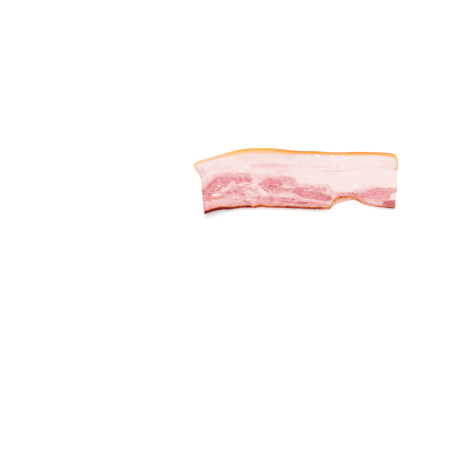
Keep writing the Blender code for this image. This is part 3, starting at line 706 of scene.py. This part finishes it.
# Both ends of the notch, each with the share of the wall's height over which its smoke fades out.
NOTCH_ENDS = (((25.6, 27.0, 29.0, 31.4), (0.5, 0.9)), ((52.0, 57.0, 60.0, 63.0), (0.3, 0.75)))
FADED_OUT = 1.3
RIGHT_CORNER = (83.0, 84.4)
# Speckles in the notch's left part, and a paler wall below its top edge in the middle.
SPECKLED_FROM = (37.0, 32.0)
SPECKLE_SIZE = 1.3
SPECKLE_CHANGE = 0.24
CREST_PALER = 0.46
BELOW_CREST = (0.93, 0.7)
# Inward from the wall the smoke is paler, though less so in the notch.
INWARD = (0.3, 1.0)
INWARD_PALER = 0.65
LESS_IN_NOTCH = 0.45

from_smoked = share_v * MEAN_WIDTH * 1000.0 / follow(SMOKE_AND_SHADE_DEPTHS, mm_x)
from_smoked += within(mm_x, *BESIDE_NOTCH) + soft_step(mm_x, *RIGHT_CORNER)
for notch_end, up_the_wall in NOTCH_ENDS:
    from_smoked += FADED_OUT * within(mm_x, *notch_end) * soft_step(level, *up_the_wall)
in_notch = within(mm_x, *NOTCH)
in_crest = in_notch * within(mm_x, *NOTCH_CREST)
speckle = in_notch * grain(mm_x / SPECKLE_SIZE, up_wall / SPECKLE_SIZE, below, 71.0)
# The darkness holds painted shade at the left and painted glints near -39 and 25 mm.
darkness = follow(SMOKE_SHADE_AND_GLINT_DARKNESS, mm_x)
darkness -= SPECKLE_CHANGE * speckle * soft_step(mm_x, *SPECKLED_FROM)
darkness -= CREST_PALER * in_crest * soft_step(level, *BELOW_CREST)
darkness -= (INWARD_PALER - LESS_IN_NOTCH * in_notch) * soft_step(from_smoked, *INWARD)

looks = {"tone": tone, "warm": warm, "rind": rind, "amber": amber, "skin": skin,
         "from_smoked": from_smoked, "darkness": darkness}
for name, values in looks.items():
    layer = bacon_mesh.attributes.new(name, "FLOAT", "POINT")
    layer.data.foreach_set("value", values.astype(np.float32))
in_layers = np.stack([mm_x, across, below * FINEST_CHANGE], axis=1)
layers = bacon_mesh.attributes.new("layers", "FLOAT_VECTOR", "POINT")
layers.data.foreach_set("vector", in_layers.astype(np.float32).ravel())

bacon = bpy.data.objects.new("bacon_slice_cut", bacon_mesh)
bpy.context.scene.collection.objects.link(bacon)
bacon_mesh.shade_smooth()


def paint(hex_colour):
    """An sRGB hex colour as the linear colour that a shader takes."""
    parts = [int(hex_colour[i:i + 2], 16) / 255.0 for i in (1, 3, 5)]
    return tuple(c / 12.92 if c <= 0.04045 else ((c + 0.055) / 1.055) ** 2.4 for c in parts) + (1.0,)


def add_node(tree, kind, inputs=None, stops=(), **settings):
    """Add a node with its settings, inputs and ramp stops. Inputs are values, sockets or nodes."""
    node = tree.nodes.new("ShaderNode" + kind)
    for name, value in settings.items():
        setattr(node, name, value)
    for key, value in (inputs or {}).items():
        if isinstance(value, bpy.types.Node):
            value = next(output for output in value.outputs if output.enabled)
        if isinstance(value, bpy.types.NodeSocket):
            tree.links.new(value, node.inputs[key])
        else:
            node.inputs[key].default_value = value
    for number, (position, colour) in enumerate(stops):
        elements = node.color_ramp.elements
        element = elements[number] if number < len(elements) else elements.new(position)
        element.position = position
        element.color = paint(colour)
    return node


# Cured and smoked pork, freshly sliced: mottled pink lean and white fat that glisten, the amber of
# the rind and the dull brown of the smoked face. A Mix node's colours are its inputs 6 and 7.
pork = bpy.data.materials.new("cured_pork")
pork.use_nodes = True
tree = pork.node_tree
shader = tree.nodes["Principled BSDF"]
where = add_node(tree, "TexCoord").outputs["Object"]
along_layers = add_node(tree, "Attribute", attribute_name="layers").outputs["Vector"]
painted = {name: add_node(tree, "Attribute", attribute_name=name).outputs["Fac"] for name in looks}

# Even grains, as (name, size in millimetres, detail, roughness), and then grains drawn out along
# the layers, as (name, size along and across, detail, roughness, distortion).
grains = {}
for name, size, detail, roughness in (
        ("mottle", 2.0, 3.0, 0.62), ("rind", 1.1, 2.0, 0.5), ("skin", 2.4, 4.0, 0.6),
        ("smoke", 2.1, 4.0, 0.65), ("finest", 0.7, 3.0, 0.6)):
    grains[name] = add_node(tree, "TexNoise", {
        "Vector": where, "Scale": 1000.0 / size, "Detail": detail, "Roughness": roughness})
for name, length, breadth, detail, roughness, distortion in (
        ("fibre", 4.0, 0.8, 3.0, 0.6, 0.0), ("vein", 9.0, 1.6, 2.0, 0.5, 0.6)):
    drawn_out = add_node(tree, "Mapping", {
        "Vector": along_layers, "Scale": (1.0 / length, 1.0 / breadth, 1.0)})
    grains[name] = add_node(tree, "TexNoise", {
        "Vector": drawn_out, "Scale": 1.0, "Detail": detail, "Roughness": roughness,
        "Distortion": distortion})

# Veins are thin pale threads, where their grain crosses its middle.
VEIN_WIDTH = 0.028
VEIN_PALER = 0.16
off_middle = add_node(tree, "Math", {0: grains["vein"], 1: 0.5}, operation="SUBTRACT")
off_middle = add_node(tree, "Math", {0: off_middle}, operation="ABSOLUTE")
vein = add_node(tree, "MapRange", {
    "Value": off_middle, "From Max": VEIN_WIDTH, "To Min": 1.0, "To Max": 0.0})

# Flecks paler and darker than the tone, but at most DARKEST_FLECK darker. Fat has hardly any.
FLECKS_MEAN = 0.94
FLECKS_CHANGE = 1.4
DARKEST_FLECK = 0.16
strength = add_node(tree, "MapRange", {
    "Value": painted["tone"], "From Min": 0.05, "From Max": 0.6, "To Min": 0.08, "To Max": 1.0})
flecks = add_node(tree, "Math", {0: grains["mottle"], 1: grains["fibre"]}, operation="ADD")
flecks = add_node(tree, "Math", {
    0: flecks, 1: FLECKS_CHANGE, 2: -FLECKS_MEAN * FLECKS_CHANGE}, operation="MULTIPLY_ADD")
flecks = add_node(tree, "Math", {0: flecks, 1: DARKEST_FLECK}, operation="MINIMUM")
flecks = add_node(tree, "Math", {0: vein, 1: -VEIN_PALER, 2: flecks}, operation="MULTIPLY_ADD")
full_tone = add_node(tree, "Math", {
    0: flecks, 1: strength, 2: painted["tone"]}, operation="MULTIPLY_ADD")
# The ramp starts with the white of the painted glints on the whitest beads, and the darkest lean is
# at its end.
ramp_place = add_node(tree, "Math", {0: full_tone, 1: 0.7, 2: 0.06}, operation="MULTIPLY_ADD")
meat_colour = add_node(tree, "ValToRGB", {"Fac": ramp_place}, stops=(
    (0.00, "#fdf9fc"), (0.06, "#f7e8e6"), (0.13, "#f4dfdd"), (0.235, "#f2cecd"), (0.34, "#efbcbd"),
    (0.445, "#ecacae"), (0.55, "#e99ca1"), (0.655, "#e48a90"), (0.76, "#dc767d"), (0.90, "#cf5a60")))
warm_tint = add_node(tree, "Mix", {
    0: painted["warm"], 6: meat_colour, 7: paint("#fcf9e3")},
    data_type="RGBA", blend_type="MULTIPLY")

# The rind runs from amber at the skin to the fat's pink, unevenly, in three shades of amber.
RIND_UNEVEN = 0.24
rind_place = add_node(tree, "Math", {
    0: grains["rind"], 1: RIND_UNEVEN, 2: painted["rind"]}, operation="MULTIPLY_ADD")
rind_place = add_node(tree, "Math", {0: rind_place, 1: RIND_UNEVEN / 2}, operation="SUBTRACT")
deep_rind = add_node(tree, "ValToRGB", {"Fac": rind_place}, stops=(
    (0.0, "#e0801a"), (0.10, "#f58c0a"), (0.32, "#fb9a16"), (0.48, "#fcae48"), (0.66, "#f8c08c"),
    (0.85, "#f6ccb0"), (1.0, "#f5d6c8")))
honey_rind = add_node(tree, "ValToRGB", {"Fac": rind_place}, stops=(
    (0.0, "#efac54"), (0.12, "#fbb640"), (0.30, "#fdbd4c"), (0.46, "#fcc27c"), (0.66, "#fac49c"),
    (0.85, "#f7cdb8"), (1.0, "#f6d8ce")))
pale_rind = add_node(tree, "ValToRGB", {"Fac": rind_place}, stops=(
    (0.0, "#efb47c"), (0.25, "#f5c290"), (0.55, "#f7c9a2"), (0.80, "#f8d3bc"), (1.0, "#f6ded6")))
rind_colour = pale_rind
for shade, least, most in ((honey_rind, 0.0, 0.5), (deep_rind, 0.5, 1.0)):
    more_amber = add_node(tree, "MapRange", {
        "Value": painted["amber"], "From Min": least, "From Max": most})
    rind_colour = add_node(tree, "Mix", {0: more_amber, 6: rind_colour, 7: shade}, data_type="RGBA")
tanned = add_node(tree, "ValToRGB", {"Fac": grains["skin"]}, stops=(
    (0.30, "#a8601a"), (0.45, "#c67c28"), (0.56, "#dc9238"), (0.70, "#eaa84e")))
skin_colour = add_node(tree, "Mix", {
    0: painted["skin"], 6: rind_colour, 7: tanned}, data_type="RGBA")
rind_cover = add_node(tree, "MapRange", {
    "Value": rind_place, "From Min": 1.2, "From Max": 0.6}, interpolation_type="SMOOTHSTEP")
with_rind = add_node(tree, "Mix", {0: rind_cover, 6: warm_tint, 7: skin_colour}, data_type="RGBA")

# The smoke thins out inward with a broken edge, and is uneven in its darkness.
SMOKE_BROKEN = 1.1
SMOKE_UNEVEN = 0.9
smoke_place = add_node(tree, "Math", {
    0: grains["smoke"], 1: SMOKE_BROKEN, 2: painted["from_smoked"]}, operation="MULTIPLY_ADD")
smoke_cover = add_node(tree, "MapRange", {
    "Value": smoke_place, "From Min": 1.75, "From Max": 1.25}, interpolation_type="SMOOTHSTEP")
smoke_tone = add_node(tree, "Math", {
    0: grains["smoke"], 1: SMOKE_UNEVEN, 2: painted["darkness"]}, operation="MULTIPLY_ADD")
smoke_tone = add_node(tree, "Math", {0: smoke_tone, 1: SMOKE_UNEVEN / 2}, operation="SUBTRACT")
smoke_colour = add_node(tree, "ValToRGB", {"Fac": smoke_tone}, stops=(
    (0.0, "#f9c8b4"), (0.12, "#f2aa88"), (0.25, "#ea8a62"), (0.42, "#dc6844"), (0.60, "#be4424"),
    (0.80, "#9c180c"), (1.0, "#7a040e")))
amber_smoke = add_node(tree, "ValToRGB", {"Fac": smoke_tone}, stops=(
    (0.0, "#f8cca4"), (0.15, "#f5b272"), (0.32, "#ea9444"), (0.52, "#cf6818"), (0.80, "#962800"),
    (1.0, "#6a0400")))
smoke_colour = add_node(tree, "Mix", {
    0: painted["amber"], 6: smoke_colour, 7: amber_smoke}, data_type="RGBA")
surface = add_node(tree, "Mix", {0: smoke_cover, 6: with_rind, 7: smoke_colour}, data_type="RGBA")
tree.links.new(surface.outputs[2], shader.inputs["Base Color"])

# The finest grain is a bump. Moisture coats all but the dry smoked face.
grain_height = add_node(tree, "Math", {
    0: grains["fibre"], 1: 1.5, 2: grains["finest"]}, operation="MULTIPLY_ADD")
bumps = add_node(tree, "Bump", {"Height": grain_height, "Strength": 0.3, "Distance": 0.0002})
tree.links.new(bumps.outputs[0], shader.inputs["Normal"])
for socket, moist, dry in (("Coat Weight", 0.9, 0.0), ("Specular IOR Level", 0.3, 0.08)):
    gloss = add_node(tree, "MapRange", {"Value": smoke_cover, "To Min": moist, "To Max": dry})
    tree.links.new(gloss.outputs[0], shader.inputs[socket])
shader.inputs["Coat IOR"].default_value = 1.4
shader.inputs["Coat Roughness"].default_value = 0.07
shader.inputs["Roughness"].default_value = 0.5
shader.inputs["Subsurface Weight"].default_value = 0.2
shader.inputs["Subsurface Scale"].default_value = 0.001
shader.inputs["Subsurface Radius"].default_value = (1.0, 0.45, 0.35)

bacon_mesh.materials.append(pork)
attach(bacon, "root")
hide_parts("bacon_slice")


# ---- Table, light and camera -------------------------------------------------------------------
# A plain white table in a bright, even white room, with a wide window behind and above, and one
# small lamp that gives the wet fat its sparkle.

table_mesh = bpy.data.meshes.new("table")
table_top = bmesh.new()
bmesh.ops.create_grid(table_top, x_segments=1, y_segments=1, size=3.0)
table_top.to_mesh(table_mesh)
table_top.free()
table = bpy.data.objects.new("table", table_mesh)
bpy.context.scene.collection.objects.link(table)
# Matt white paint, which glows a little so that it comes out an even white.
white = bpy.data.materials.new("white_table")
white.use_nodes = True
matt = white.node_tree.nodes["Principled BSDF"]
matt.inputs["Base Color"].default_value = paint("#fdfdfd")
matt.inputs["Roughness"].default_value = 0.9
matt.inputs["Emission Color"].default_value = paint("#ffffff")
matt.inputs["Emission Strength"].default_value = 0.18
table_mesh.materials.append(white)

room = bpy.data.worlds.new("room")
room.use_nodes = True
walls = room.node_tree.nodes["Background"]
walls.inputs["Color"].default_value = paint("#ffffff")
walls.inputs["Strength"].default_value = 0.80
bpy.context.scene.world = room

for name, size, power, place in (
        ("window", 0.9, 2.6, (0.10, 0.75, 1.0)),
        ("sparkle", 0.10, 1.8, (-0.20, 0.80, 0.85))):
    lamp_data = bpy.data.lights.new(name, "AREA")
    lamp_data.size = size
    lamp_data.energy = power
    lamp = bpy.data.objects.new(name, lamp_data)
    lamp.location = place
    lamp.rotation_mode = "QUATERNION"
    lamp.rotation_quaternion = Vector(place).to_track_quat("Z", "Y")
    bpy.context.scene.collection.objects.link(lamp)

ELEVATION = math.radians(70.0)
DISTANCE = 0.9254
AIM = Vector((-0.0612, -0.0416, 0.0))
camera_data = bpy.data.cameras.new("camera")
camera_data.lens = 85.0
camera = bpy.data.objects.new("camera", camera_data)
back = Vector((0.0, -math.cos(ELEVATION), math.sin(ELEVATION)))
camera.location = AIM + back * DISTANCE
camera.rotation_mode = "QUATERNION"
camera.rotation_quaternion = back.to_track_quat("Z", "Y")
bpy.context.scene.collection.objects.link(camera)
bpy.context.scene.camera = camera
bpy.context.scene.view_settings.view_transform = "Standard"
